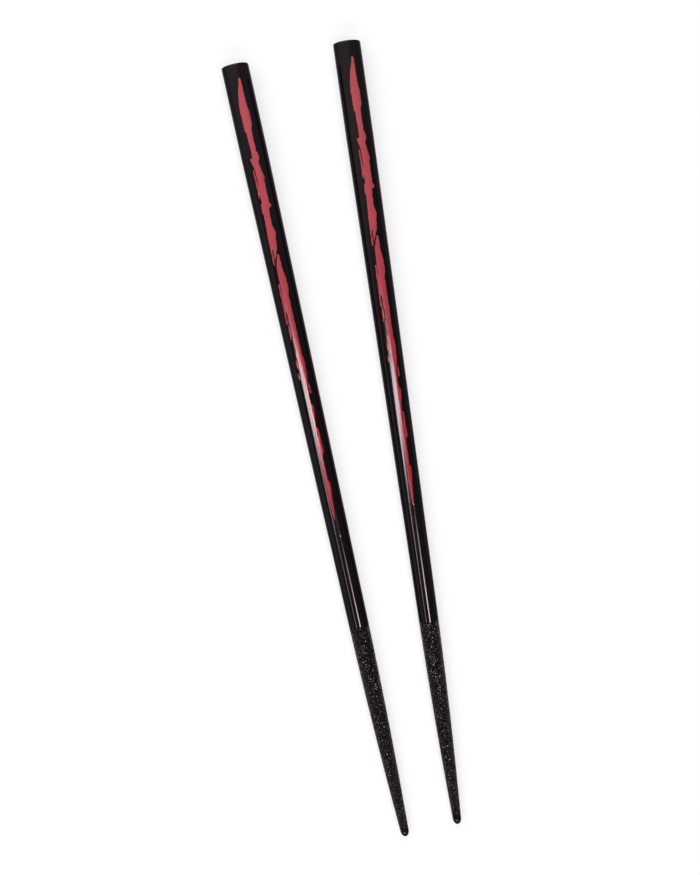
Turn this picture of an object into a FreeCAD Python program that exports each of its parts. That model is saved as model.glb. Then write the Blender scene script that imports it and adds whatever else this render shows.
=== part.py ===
import FreeCAD, Part
import math
import os
import Sketcher

# Pair of round tapered wooden chopsticks in black lacquer, each with a red brush stroke
# in two parts that lies on the black as a thin coat of its own.
#
# Row frame: the pair lies on the surface z = 0, butt ends towards +Y, tips towards -Y and
# a little closer together, one stick at each side of the YZ plane.
#
# Stick frame, in which every piece is drawn: X runs along the axis from the centre of the
# butt end (x = 0) to the tip, Z points out through the middle of the brush stroke, and Y
# points across it, towards the row's +X.

SIZES = (
    ("stick_length", 225.0, "overall length of one stick"),
    ("grip_radius", 3.93, "radius of the even part at the butt end"),
    ("grip_length", 27.0, "length of the even part"),
    ("neck_radius", 2.90, "radius where the straight taper ends"),
    ("point_length", 63.0, "from the neck to the very end of the tip"),
    ("nose_radius", 1.26, "radius at the root of the rounded nose"),
    ("nose_length", 1.86, "length of the rounded nose"),
    ("butt_rounding", 0.40, "rounding of the butt end's edge"),
    ("butt_spacing", 32.5, "between the two axes at the butt ends"),
    ("tip_spacing", 15.2, "between the two axes at the tips"),
    ("stagger", 0.80, "how far the right stick lies ahead towards +Y"),
    ("stroke_thickness", 0.06, "how far the red lacquer stands up from the black"),
    ("stroke_width", 3.0, "width of the brush stroke"),
    ("left_stroke_start", 4.3, "from the butt end to the head of the stroke, left stick"),
    ("right_stroke_start", 4.8, "the same on the right stick"),
    ("upper_stroke_length", 53.9, "length of the part nearer the butt end"),
    ("lower_stroke_length", 77.0, "length of the part nearer the tip"),
    ("stroke_overlap", 2.9, "how far the two parts lie side by side at the split"),
    ("left_stroke_turn", 1.5, "degrees that the left stroke sits off the top, towards -X"),
    ("right_stroke_turn", 4.7, "degrees that the right stroke sits off the top, towards +X"),
    ("strip_turn", 9.0, "degrees round the stick that one strip of the red coat takes"),
)

# Outlines of the two parts of the stroke, once round: how far along the part, in percent
# of its length, and how far across, in percent of half the stroke's width.
UPPER_OUTLINE = (
    (0.0, 53), (0.8, 33), (4.4, 1), (10.9, -57), (15.5, -73), (27.8, -73), (29.1, -53),
    (42.4, -47), (43.1, -80), (48.3, -37), (49.2, -86), (64.1, -85), (65.7, -50), (67.6, -73),
    (72.2, -77), (73.1, -63), (83.6, -87), (98.9, -83), (100.0, -67), (99.4, -47),
    (91.3, -41), (95.8, -28), (95.2, -7), (91.3, 37), (86.4, 60), (82.9, 83), (80.5, 73),
    (79.2, 47), (77.2, 41), (70.0, 60), (69.6, 103), (68.7, 110), (67.2, 87), (54.9, 87),
    (54.1, 107), (53.0, 107), (49.4, 76), (44.9, 50), (43.5, 87), (40.9, 87), (40.0, 57),
    (31.1, 53), (26.5, 57), (21.9, 90), (18.4, 90), (16.9, 70), (6.3, 67), (2.6, 83), (0.6, 75),
)
LOWER_OUTLINE = (
    (0.0, 37), (0.4, 17), (3.0, -30), (4.4, -47), (10.9, -47), (11.4, -77), (13.6, -87),
    (25.3, -90), (26.1, -68), (30.5, -69), (31.8, -63), (31.3, -41), (32.9, -23), (35.7, -47),
    (38.2, -43), (38.8, -23), (39.3, -50), (39.7, -80), (41.6, -80), (43.0, -40), (43.4, -13),
    (47.8, -6), (65.9, -8), (69.1, -20), (75.6, -30), (85.3, -27), (93.0, -29), (98.2, -23),
    (100.0, -10), (99.5, 7), (96.9, 23), (89.1, 50), (86.8, 57), (86.0, 50), (85.5, 29),
    (80.1, 27), (75.7, 29), (75.2, 70), (73.9, 77), (68.5, 63), (65.6, 60), (65.1, 30),
    (62.7, 43), (59.4, 64), (57.0, 66), (56.3, 44), (49.1, 41), (48.8, 50), (51.9, 57),
    (52.2, 87), (48.9, 66), (45.2, 81), (41.1, 93), (39.8, 68), (34.9, 67), (19.4, 67),
    (15.2, 63), (12.3, 90), (9.8, 73), (7.2, 70), (4.5, 57), (1.0, 63), (0.3, 53),
)

# The red coat is laid in strips side by side, as a brush's hairs lay it, before it is trimmed.
STRIPS = 8

doc = FreeCAD.newDocument("chopsticks")


def make_sheet():
    """The spreadsheet of driving sizes: one row each, with its name, value and meaning."""
    sheet = doc.addObject("Spreadsheet::Sheet", "Dimensions")
    for row, (name, value, meaning) in enumerate(SIZES, start=1):
        sheet.set(f"A{row}", name)
        sheet.set(f"B{row}", str(value))
        sheet.set(f"C{row}", meaning)
        sheet.setAlias(f"B{row}", name)
    doc.recompute()
    return sheet


dimensions = make_sheet()

# Sizes that follow from the driving ones.
NECK_AT = "(Dimensions.stick_length - Dimensions.point_length)"
NOSE_AT = "(Dimensions.stick_length - Dimensions.nose_length)"
TAPER = "((Dimensions.grip_radius - Dimensions.neck_radius) / (" + NECK_AT + " - Dimensions.grip_length))"
LEAN = f"atan({TAPER})"
SPLAY = "asin((Dimensions.butt_spacing - Dimensions.tip_spacing) / 2 / Dimensions.stick_length)"

# A stick rests along its straight taper, so its axis drops towards the tip by the taper's angle.
BUTT_HEIGHT = f"(Dimensions.grip_radius * cos({LEAN}) + Dimensions.grip_length * sin({LEAN}))"

# The butt ends' outer corners reach a little further than the tips, so the pair is centred on both.
CENTRING = f"((Dimensions.grip_radius - Dimensions.nose_length) * sin({SPLAY}) / 2)"


class Side:
    """What differs between the two sticks: name, side of the YZ plane, and the stroke's place."""

    def __init__(self, name, sign):
        self.name = name
        self.sign = sign
        self.stroke_start = f"Dimensions.{name}_stroke_start"

    def placement(self):
        """Expression for the place of a piece in the row: its turn, its lean and its heading."""
        across = f"{self.sign} * Dimensions.butt_spacing / 2"
        ahead = (f"Dimensions.stick_length / 2 * cos({SPLAY})"
                 f" + {self.sign} * Dimensions.stagger / 2 - {CENTRING}")
        heading = f"-90 deg - {self.sign} * {SPLAY}"
        turn = f"{-self.sign} * Dimensions.{self.name}_stroke_turn * 1 deg"
        return (f"create(<<placement>>; create(<<vector>>; {across}; {ahead}; {BUTT_HEIGHT});"
                f" create(<<rotation>>; {heading}; {LEAN}; {turn}))")


LEFT = Side("left", -1)
RIGHT = Side("right", 1)


def origin_plane(body, role):
    """The origin plane of a body that has the given role, such as XY_Plane."""
    for feature in body.Origin.OriginFeatures:
        if feature.Role == role:
            return feature
    raise ValueError(f"no {role} in {body.Name}")


def add_sketch(body, name, role):
    """A new sketch in a body, flat on its XY_Plane or XZ_Plane, both of which hold the axis."""
    sketch = body.newObject("Sketcher::SketchObject", name)
    sketch.AttachmentSupport = [(origin_plane(body, role), "")]
    sketch.MapMode = "FlatFace"
    return sketch


def bind(sketch, kind, geometry, point, formula, value):
    """Hold one coordinate of a sketch point, kind DistanceX or DistanceY, to a formula."""
    number = sketch.addConstraint(Sketcher.Constraint(kind, -1, 1, geometry, point, value))
    sketch.setExpression(f"Constraints[{number}]", formula)


def bind_point(sketch, geometry, point, along, across, place):
    """Hold both coordinates of a sketch point to formulas; place is where it starts."""
    bind(sketch, "DistanceX", geometry, point, along, place.x)
    bind(sketch, "DistanceY", geometry, point, across, place.y)


def profile_points(raised):
    """The bends of the stick's profile: vectors of distance along, and radius and what is raised."""
    neck_at = dimensions.stick_length - dimensions.point_length
    nose_at = dimensions.stick_length - dimensions.nose_length
    return (
        FreeCAD.Vector(0, dimensions.grip_radius + raised, 0),
        FreeCAD.Vector(dimensions.grip_length, dimensions.grip_radius + raised, 0),
        FreeCAD.Vector(neck_at, dimensions.neck_radius + raised, 0),
        FreeCAD.Vector(nose_at, dimensions.nose_radius + raised, 0),
    )


def tangent_arc(before, start, end):
    """The circular arc from start to end that leaves start in line with the run from before."""
    run = (start - before).normalize()
    inward = FreeCAD.Vector(run.y, -run.x, 0)
    chord = end - start
    centre = start + inward * (chord.Length ** 2 / (2 * chord.dot(inward)))
    circle = Part.Circle(centre, FreeCAD.Vector(0, 0, 1), (start - centre).Length)
    return Part.ArcOfCircle(circle, circle.parameter(end), circle.parameter(start))


def draw_profile(sketch, raised="0"):
    """
    Half profile of a stick's side, over the even part, the straight taper and the arched
    point to the nose's root, with its radii greater by what is raised, which is a formula.
    It starts on the sketch's own vertical axis, which is line -2. Returns the numbers of
    the first line and of the arc.
    """
    height = 0 if raised == "0" else dimensions.stroke_thickness
    butt, shoulder, neck, nose = profile_points(height)
    grip = sketch.addGeometry(Part.LineSegment(butt, shoulder))
    taper = sketch.addGeometry(Part.LineSegment(shoulder, neck))
    arch = sketch.addGeometry(tangent_arc(shoulder, neck, nose))
    sketch.addConstraint([
        Sketcher.Constraint("PointOnObject", grip, 1, -2),
        Sketcher.Constraint("Horizontal", grip),
        Sketcher.Constraint("Coincident", grip, 2, taper, 1),
        Sketcher.Constraint("Tangent", taper, 2, arch, 2),
    ])
    bind_point(sketch, grip, 2, "Dimensions.grip_length", f"Dimensions.grip_radius + {raised}", shoulder)
    bind_point(sketch, taper, 2, NECK_AT, f"Dimensions.neck_radius + {raised}", neck)
    bind_point(sketch, arch, 1, NOSE_AT, f"Dimensions.nose_radius + {raised}", nose)
    return grip, arch


def make_chopstick(side):
    """One stick, of one piece: a turned rod with an arched point and a rounded nose."""
    body = doc.addObject("PartDesign::Body", f"chopstick_{side.name}")
    sketch = add_sketch(body, f"stick_profile_{side.name}", "XY_Plane")
    grip, arch = draw_profile(sketch)
    nose_at = dimensions.stick_length - dimensions.nose_length
    centre = FreeCAD.Vector(0, 0, 0)
    tip = FreeCAD.Vector(dimensions.stick_length, 0, 0)
    nose_centre = FreeCAD.Vector(nose_at, 0, 0)
    nose_side = FreeCAD.Vector(nose_at, dimensions.nose_radius, 0)
    ellipse = Part.Ellipse(tip, nose_side, nose_centre)
    nose = sketch.addGeometry(Part.ArcOfEllipse(ellipse, 0, math.pi / 2))
    long_axis = sketch.addGeometry(Part.LineSegment(tip, 2 * nose_centre - tip), True)
    axis = sketch.addGeometry(Part.LineSegment(tip, centre))
    end_line = sketch.addGeometry(Part.LineSegment(centre, FreeCAD.Vector(0, dimensions.grip_radius, 0)))
    sketch.addConstraint([
        Sketcher.Constraint("InternalAlignment:EllipseMajorDiameter", long_axis, nose),
        Sketcher.Constraint("Horizontal", long_axis),
        Sketcher.Constraint("Coincident", arch, 1, nose, 2),
        Sketcher.Constraint("Coincident", nose, 1, axis, 1),
        Sketcher.Constraint("Horizontal", axis),
        Sketcher.Constraint("Coincident", axis, 2, -1, 1),
        Sketcher.Constraint("Coincident", end_line, 1, -1, 1),
        Sketcher.Constraint("Coincident", end_line, 2, grip, 1),
    ])
    bind_point(sketch, nose, 3, NOSE_AT, "0", nose_centre)
    bind(sketch, "DistanceX", nose, 1, "Dimensions.stick_length", dimensions.stick_length)
    rod = body.newObject("PartDesign::Revolution", f"rod_{side.name}")
    rod.Profile = sketch
    rod.ReferenceAxis = (sketch, ["H_Axis"])
    rod.Angle = 360.0
    doc.recompute()
    rounding = body.newObject("PartDesign::Fillet", f"butt_edge_{side.name}")
    rounding.Base = (rod, [butt_edge_name(rod.Shape)])
    rounding.setExpression("Radius", "Dimensions.butt_rounding")
    body.Label = f"chopstick_{side.name}"
    body.setExpression("Placement", side.placement())
    return body


def butt_edge_name(shape):
    """The name of the circular edge round the flat butt end."""
    for number, edge in enumerate(shape.Edges, start=1):
        circular = isinstance(edge.Curve, Part.Circle)
        if circular and abs(edge.Curve.Center.x) < 1e-6:
            return f"Edge{number}"
    raise ValueError("the butt end has no circular edge")


def add_outline(sketch, outline, start, length, first_corner_at, full_length):
    """
    Closed outline of one part of a stroke. start and length are formulas, and
    first_corner_at and full_length are what they come to.
    """
    corners = [
        FreeCAD.Vector(first_corner_at + full_length * along / 100, dimensions.stroke_width * across / 200, 0)
        for along, across in outline
    ]
    count = len(corners)
    for number, corner in enumerate(corners):
        sketch.addGeometry(Part.LineSegment(corner, corners[(number + 1) % count]))
    sketch.addConstraint([
        Sketcher.Constraint("Coincident", number, 2, (number + 1) % count, 1) for number in range(count)
    ])
    for number, (along, across) in enumerate(outline):
        along_formula = f"{start} + {length} * {along / 100}"
        across_formula = f"Dimensions.stroke_width * {across / 200}"
        bind_point(sketch, number, 1, along_formula, across_formula, corners[number])


def add_frame(sketch):
    """A rectangle that takes in the whole stick seen from above, with room all round."""
    near_end = -dimensions.grip_radius
    far_end = dimensions.stick_length + dimensions.grip_radius
    side = 2 * dimensions.grip_radius
    places = (
        FreeCAD.Vector(near_end, -side, 0),
        FreeCAD.Vector(far_end, -side, 0),
        FreeCAD.Vector(far_end, side, 0),
        FreeCAD.Vector(near_end, side, 0),
    )
    lines = [
        sketch.addGeometry(Part.LineSegment(places[number], places[(number + 1) % 4])) for number in range(4)
    ]
    bottom, right, top, left = lines
    sketch.addConstraint([
        Sketcher.Constraint("Coincident", bottom, 2, right, 1),
        Sketcher.Constraint("Coincident", right, 2, top, 1),
        Sketcher.Constraint("Coincident", top, 2, left, 1),
        Sketcher.Constraint("Coincident", left, 2, bottom, 1),
        Sketcher.Constraint("Horizontal", bottom),
        Sketcher.Constraint("Horizontal", top),
        Sketcher.Constraint("Vertical", right),
        Sketcher.Constraint("Vertical", left),
    ])
    bind_point(sketch, bottom, 1, "-Dimensions.grip_radius", "-2 * Dimensions.grip_radius", places[0])
    bind_point(sketch, top, 1, "Dimensions.stick_length + Dimensions.grip_radius",
               "2 * Dimensions.grip_radius", places[2])


def make_stroke(side, part, outline, start, first_corner_at):
    """
    One part of the stroke, upper or lower: a thin coat laid over the top of the stick in
    strips, and everything outside the outline trimmed off. start is a formula for the
    place of its head, and first_corner_at is what it comes to.
    """
    name = f"{part}_stroke_{side.name}"
    body = doc.addObject("PartDesign::Body", name)
    section = add_sketch(body, f"{name}_section", "XZ_Plane")
    grip, arch = draw_profile(section)
    raised_grip, raised_arch = draw_profile(section, "Dimensions.stroke_thickness")
    butt, *_, nose = profile_points(0)
    raised_butt, *_, raised_nose = profile_points(dimensions.stroke_thickness)
    head = section.addGeometry(Part.LineSegment(butt, raised_butt))
    end = section.addGeometry(Part.LineSegment(nose, raised_nose))
    section.addConstraint([
        Sketcher.Constraint("Coincident", head, 1, grip, 1),
        Sketcher.Constraint("Coincident", head, 2, raised_grip, 1),
        Sketcher.Constraint("Coincident", end, 1, arch, 1),
        Sketcher.Constraint("Coincident", end, 2, raised_arch, 1),
    ])
    section.setExpression("AttachmentOffset", (
        "create(<<placement>>; create(<<vector>>; 0; 0; 0);"
        f" create(<<rotation>>; create(<<vector>>; 1; 0; 0); {-STRIPS / 2} * Dimensions.strip_turn))"
    ))
    strip = body.newObject("PartDesign::Revolution", f"{name}_strip")
    strip.Profile = section
    strip.ReferenceAxis = (section, ["H_Axis"])
    strip.Refine = False
    strip.setExpression("Angle", "Dimensions.strip_turn * 1 deg")
    doc.recompute()
    coat = body.newObject("PartDesign::PolarPattern", f"{name}_coat")
    coat.Originals = [strip]
    coat.Axis = (section, ["H_Axis"])
    coat.Refine = False
    coat.Occurrences = STRIPS
    coat.setExpression("Angle", f"{STRIPS - 1} * Dimensions.strip_turn * 1 deg")
    body.Tip = coat
    doc.recompute()
    trimming = add_sketch(body, f"{name}_outline", "XY_Plane")
    add_outline(trimming, outline, start, f"Dimensions.{part}_stroke_length", first_corner_at,
                getattr(dimensions, f"{part}_stroke_length"))
    add_frame(trimming)
    trim = body.newObject("PartDesign::Pocket", f"{name}_trim")
    trim.Profile = trimming
    trim.Type = "ThroughAll"
    trim.Reversed = True
    trim.Refine = False
    body.Tip = trim
    body.Label = name
    body.setExpression("Placement", side.placement())
    return body


def make_stick_with_stroke(side):
    """A stick and the two parts of its stroke."""
    starts_at = getattr(dimensions, f"{side.name}_stroke_start")
    lower_start = f"{side.stroke_start} + Dimensions.upper_stroke_length - Dimensions.stroke_overlap"
    lower_starts_at = starts_at + dimensions.upper_stroke_length - dimensions.stroke_overlap
    return [
        make_chopstick(side),
        make_stroke(side, "upper", UPPER_OUTLINE, side.stroke_start, starts_at),
        make_stroke(side, "lower", LOWER_OUTLINE, lower_start, lower_starts_at),
    ]


pieces = make_stick_with_stroke(LEFT) + make_stick_with_stroke(RIGHT)
doc.recompute()

for item in doc.Objects:
    if {"Invalid", "Error"} & set(item.State):
        raise RuntimeError(f"{item.Name} failed: {item.State}")

os.makedirs("parts", exist_ok=True)
for piece in pieces:
    shape = piece.Shape
    if shape.isNull() or not shape.isValid():
        raise RuntimeError(f"{piece.Label} has no valid shape")
    shape.exportStep(f"parts/{piece.Label}.step")
    print(f"{piece.Label}: {len(shape.Solids)} solid, {shape.Volume:.3f} cubic mm")
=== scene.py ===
"""Looks of a pair of black lacquered wooden chopsticks with a red brush stroke on each.

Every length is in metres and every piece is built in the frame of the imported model. Each
stick is drawn first in a frame of its own: x runs along the axis from the butt end to the
tip, y runs across towards the row's +X, and z points up through the stroke.
"""

import logging
import math
from dataclasses import dataclass, field
from enum import Enum

import bpy
import numpy as np
from mathutils import Matrix


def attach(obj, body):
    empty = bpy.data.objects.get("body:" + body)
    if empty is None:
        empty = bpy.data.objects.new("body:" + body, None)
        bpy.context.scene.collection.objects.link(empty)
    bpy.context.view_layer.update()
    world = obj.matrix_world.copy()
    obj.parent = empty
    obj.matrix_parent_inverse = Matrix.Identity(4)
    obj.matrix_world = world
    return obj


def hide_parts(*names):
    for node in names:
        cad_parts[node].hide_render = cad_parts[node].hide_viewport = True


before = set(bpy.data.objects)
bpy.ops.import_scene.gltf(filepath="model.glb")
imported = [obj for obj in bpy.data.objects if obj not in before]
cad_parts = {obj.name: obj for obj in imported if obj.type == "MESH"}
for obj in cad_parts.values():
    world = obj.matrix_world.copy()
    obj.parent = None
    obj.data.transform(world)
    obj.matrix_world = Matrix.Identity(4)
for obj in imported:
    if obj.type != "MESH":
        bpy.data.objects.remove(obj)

LOG = logging.getLogger("chopsticks")
MM = 0.001

# Height of the camera over the floor. Places on the stroke were measured as it sees them.
VIEW_HEIGHT = 0.579

# How strongly lacquer bends light.
LACQUER_IOR = 1.54

# Noise of the lacquer skin: length and width of a cell in millimetres, and octaves.
RIPPLE_CELL = (2.6, 1.3, 1.0)
GRAIN_CELL = (7.0, 0.22, 3.0)
CLOUD_CELL = (9.0, 4.0, 2.0)

# How much of the skin's tone is the wood's grain. The rest is a slow cloud.
GRAIN_SHARE = 0.6

# The flat core of a speck of dust, as a share of its size.
SPECK_CORE = 0.4

# How thick a Bump node takes a height of 1 to be, so that heights are in millimetres.
BUMP_UNIT = 0.001

Rows = tuple[tuple[float, float, float], ...]
Links = dict[str | int, object]
Groups = dict[str, bpy.types.NodeTree]


class Side(Enum):
    """The two sticks of the pair, by the side of the middle plane on which they lie."""

    LEFT = -1
    RIGHT = 1

    @property
    def word(self) -> str:
        """The side's name in lower case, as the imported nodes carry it."""
        return self.name.lower()

    @property
    def pattern_shift(self) -> np.ndarray:
        """How far a side's patterns are moved in u and v, so that the two sticks differ."""
        return np.array([0.0, 40.0 + 17.0 * self.value])


class Part(Enum):
    """The two parts of a brush stroke: nearer the butt end, and nearer the tip."""

    UPPER = "upper"
    LOWER = "lower"


@dataclass(frozen=True)
class StickSizes:
    """Sizes of one stick, the same ones that drive the construction."""

    length: float = 225.0 * MM
    grip_radius: float = 3.93 * MM
    grip_length: float = 27.0 * MM
    neck_radius: float = 2.90 * MM
    point_length: float = 63.0 * MM
    nose_radius: float = 1.26 * MM
    nose_length: float = 1.86 * MM
    butt_rounding: float = 0.40 * MM
    butt_spacing: float = 32.5 * MM
    tip_spacing: float = 15.2 * MM
    stagger: float = 0.80 * MM

    @property
    def neck_at(self) -> float:
        """How far from the butt end the straight taper ends."""
        return self.length - self.point_length

    @property
    def nose_at(self) -> float:
        """How far from the butt end the rounded nose begins."""
        return self.length - self.nose_length

    @property
    def taper(self) -> float:
        """Radius lost per unit of length on the straight taper."""
        return (self.grip_radius - self.neck_radius) / (self.neck_at - self.grip_length)

    def radius(self, along: np.ndarray) -> np.ndarray:
        """The stick's radius at each distance from the butt end.

        The radius is even over the grip, falls in a straight line to the neck, follows a
        circular arc that leaves the taper in line with it down to the nose's root, and
        ends in a quarter of an ellipse. At the butt end a quarter circle rounds the edge.

        Args:
            along: Distances from the butt end.

        Returns:
            The radius at each distance.
        """
        even = np.full_like(along, self.grip_radius)
        taper = self.grip_radius - self.taper * (along - self.grip_length)
        run = np.array([1.0, -self.taper]) / math.hypot(1.0, self.taper)
        inward = np.array([run[1], -run[0]])
        chord = np.array([self.nose_at - self.neck_at, self.nose_radius - self.neck_radius])
        bend = (chord @ chord) / (2.0 * (chord @ inward))
        centre = np.array([self.neck_at, self.neck_radius]) + inward * bend
        arch = centre[1] + np.sqrt(np.maximum(bend**2 - (along - centre[0]) ** 2, 0.0))
        reach = np.clip((along - self.nose_at) / self.nose_length, 0.0, 1.0)
        nose = self.nose_radius * np.sqrt(1.0 - reach**2)
        radius = np.where(along < self.grip_length, even, taper)
        radius = np.where(along > self.neck_at, arch, radius)
        radius = np.where(along > self.nose_at, nose, radius)
        inset = np.clip(self.butt_rounding - along, 0.0, self.butt_rounding)
        return radius - (self.butt_rounding - np.sqrt(self.butt_rounding**2 - inset**2))

    def place(self, side: Side) -> Matrix:
        """The place of a stick in the row frame.

        The stick's axis is turned to the tips by its splay, leaned down by the taper's
        angle, so that it rests along its taper, and moved to where its butt end lies.

        Args:
            side: Which stick.

        Returns:
            The matrix from the stick's own frame to the row frame.
        """
        lean = math.atan(self.taper)
        splay = math.asin((self.butt_spacing - self.tip_spacing) / 2.0 / self.length)
        height = self.grip_radius * math.cos(lean) + self.grip_length * math.sin(lean)
        centring = (self.grip_radius - self.nose_length) * math.sin(splay) / 2.0
        ahead = self.length / 2.0 * math.cos(splay) + side.value * self.stagger / 2.0 - centring
        heading = -math.pi / 2.0 - side.value * splay
        move = Matrix.Translation((side.value * self.butt_spacing / 2.0, ahead, height))
        return move @ Matrix.Rotation(heading, 4, "Z") @ Matrix.Rotation(lean, 4, "Y")


SIZES = StickSizes()


def smooth_step(value: np.ndarray, low: float, high: float) -> np.ndarray:
    """An S-shaped rise from 0 at low to 1 at high: three times t squared less twice t cubed.

    Args:
        value: Where to evaluate.
        low: Value at which the rise begins.
        high: Value at which it ends.

    Returns:
        The rise at each value.
    """
    t = np.clip((value - low) / (high - low), 0.0, 1.0)
    return t * t * (3.0 - 2.0 * t)


def build_object(
    name: str,
    vertices: np.ndarray,
    faces: np.ndarray,
    place: Matrix,
    uv: np.ndarray,
    masks: dict[str, np.ndarray],
) -> bpy.types.Object:
    """Put arrays into a mesh object that sits at the origin, with its place in its mesh.

    Args:
        name: The piece's name.
        vertices: One row of x, y and z per vertex, in the stick's own frame.
        faces: One row of vertex numbers per face; a triangle repeats none and has 3.
        place: The matrix from the stick's own frame to the row frame.
        uv: One row of u and v per vertex, in millimetres along and round the stick.
        masks: Values per vertex to keep as attributes, by name.

    Returns:
        The new object, linked to the scene.
    """
    turned = vertices @ np.array(place.to_3x3()).T + np.array(place.translation)
    mesh = bpy.data.meshes.new(name)
    count, corners = faces.shape
    mesh.vertices.add(len(turned))
    mesh.vertices.foreach_set("co", turned.astype(np.float32).ravel())
    mesh.loops.add(count * corners)
    mesh.loops.foreach_set("vertex_index", faces.astype(np.int32).ravel())
    mesh.polygons.add(count)
    mesh.polygons.foreach_set("loop_start", np.arange(0, count * corners, corners, dtype=np.int32))
    mesh.polygons.foreach_set("use_smooth", np.ones(count, dtype=bool))
    mesh.update(calc_edges=True)
    layer = mesh.uv_layers.new(name="along_and_round")
    layer.data.foreach_set("uv", uv[faces.ravel()].astype(np.float32).ravel())
    for title, values in masks.items():
        attribute = mesh.attributes.new(title, "FLOAT", "POINT")
        attribute.data.foreach_set("value", values.astype(np.float32))
    mesh.validate()
    piece = bpy.data.objects.new(name, mesh)
    bpy.context.scene.collection.objects.link(piece)
    return piece


@dataclass(frozen=True)
class Socket:
    """One named input or output of a node group, with its starting value."""

    name: str
    kind: str
    value: float | tuple[float, float, float, float] | None = None


def new_group(name: str, inputs: list[Socket], outputs: list[Socket]) -> bpy.types.NodeTree:
    """An empty shader node group with named sockets.

    Args:
        name: The group's name.
        inputs: Its inputs.
        outputs: Its outputs.

    Returns:
        The node tree, with its Group Input and Group Output nodes in place.
    """
    tree = bpy.data.node_groups.new(name, "ShaderNodeTree")
    for direction, sockets in (("INPUT", inputs), ("OUTPUT", outputs)):
        for socket in sockets:
            made = tree.interface.new_socket(name=socket.name, in_out=direction, socket_type=socket.kind)
            if socket.value is not None:
                made.default_value = socket.value
    tree.nodes.new("NodeGroupInput")
    tree.nodes.new("NodeGroupOutput")
    return tree


class Graph:
    """A short way to add nodes to a tree and join them."""

    def __init__(self, tree: bpy.types.NodeTree) -> None:
        """Keep the tree.

        Args:
            tree: The node tree to add to.
        """
        self.tree = tree

    def get(self, kind: str) -> bpy.types.Node:
        """The tree's first node of a kind, such as its Group Input."""
        return next(node for node in self.tree.nodes if node.bl_idname == kind)

    def add(self, kind: str, links: Links | None = None, **settings: object) -> bpy.types.Node:
        """Add a node.

        Args:
            kind: The node's type name.
            links: For each input, by name or number, a plain value or an output to join.
            settings: Properties of the node itself.

        Returns:
            The new node.
        """
        node = self.tree.nodes.new(kind)
        for key, value in settings.items():
            setattr(node, key, value)
        for key, value in (links or {}).items():
            self.join(node.inputs[key], value)
        return node

    def join(self, socket: bpy.types.NodeSocket, value: object) -> None:
        """Join an output to an input, or set the input's plain value.

        Args:
            socket: The input.
            value: An output socket, or a value.
        """
        if isinstance(value, bpy.types.NodeSocket):
            self.tree.links.new(value, socket)
        else:
            socket.default_value = value

    def maths(
        self, operation: str, first: object, second: object = 0.0, third: object = 0.0
    ) -> bpy.types.NodeSocket:
        """A Math node's result.

        Args:
            operation: The Math node's operation.
            first: First value or output.
            second: Second value or output.
            third: Third value or output.

        Returns:
            The node's output.
        """
        node = self.add("ShaderNodeMath", {0: first, 1: second, 2: third}, operation=operation)
        return node.outputs[0]

    def vectors(self, operation: str, first: object, second: object) -> bpy.types.Node:
        """A Vector Math node of two vectors or outputs."""
        return self.add("ShaderNodeVectorMath", {0: first, 1: second}, operation=operation)

    def group(self, tree: bpy.types.NodeTree, **values: object) -> bpy.types.Node:
        """A shared node group in place, its inputs given by their names in lower case."""
        links = {name.capitalize(): value for name, value in values.items()}
        return self.add("ShaderNodeGroup", links, node_tree=tree)

    def mixed(self, share: object, first: object, second: object) -> bpy.types.NodeSocket:
        """A colour between two others.

        Args:
            share: How much of the second, from 0 to 1, as a value or an output.
            first: First colour or output.
            second: Second colour or output.

        Returns:
            The mixed colour's output.
        """
        node = self.add("ShaderNodeMix", {0: share}, data_type="RGBA")
        for number, colour in ((6, first), (7, second)):
            plain = isinstance(colour, tuple)
            self.join(node.inputs[number], (*colour, 1.0) if plain else colour)
        return node.outputs[2]

    def bump(self, height: object) -> bpy.types.NodeSocket:
        """A bumped normal from a height in millimetres."""
        node = self.add("ShaderNodeBump", {"Height": height, "Strength": 1.0, "Distance": BUMP_UNIT})
        return node.outputs[0]

    def step(self, value: object, low: float, high: float) -> bpy.types.NodeSocket:
        """A smooth step from 0 at low to 1 at high, where low may be the greater.

        Args:
            value: Value or output to read.
            low: Where the step is 0.
            high: Where it is 1.

        Returns:
            The step's output.
        """
        node = self.add("ShaderNodeMapRange", {"Value": value}, interpolation_type="SMOOTHSTEP")
        self.join(node.inputs["From Min"], low)
        self.join(node.inputs["From Max"], high)
        return node.outputs[0]

    def stretched(self, vector: object, along: float, across: float, detail: float) -> bpy.types.NodeSocket:
        """Noise whose cells have a length and a width of their own.

        Args:
            vector: Output with millimetres along and round the stick.
            along: Length of a cell in millimetres.
            across: Width of a cell in millimetres.
            detail: Octaves of the noise.

        Returns:
            The noise's value, from 0 to 1.
        """
        scale = (1.0 / along, 1.0 / across, 1.0)
        scaled = self.add("ShaderNodeMapping", {"Vector": vector, "Scale": scale})
        settings = {"Vector": scaled.outputs[0], "Scale": 1.0, "Detail": detail}
        return self.add("ShaderNodeTexNoise", settings).outputs[0]


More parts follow.
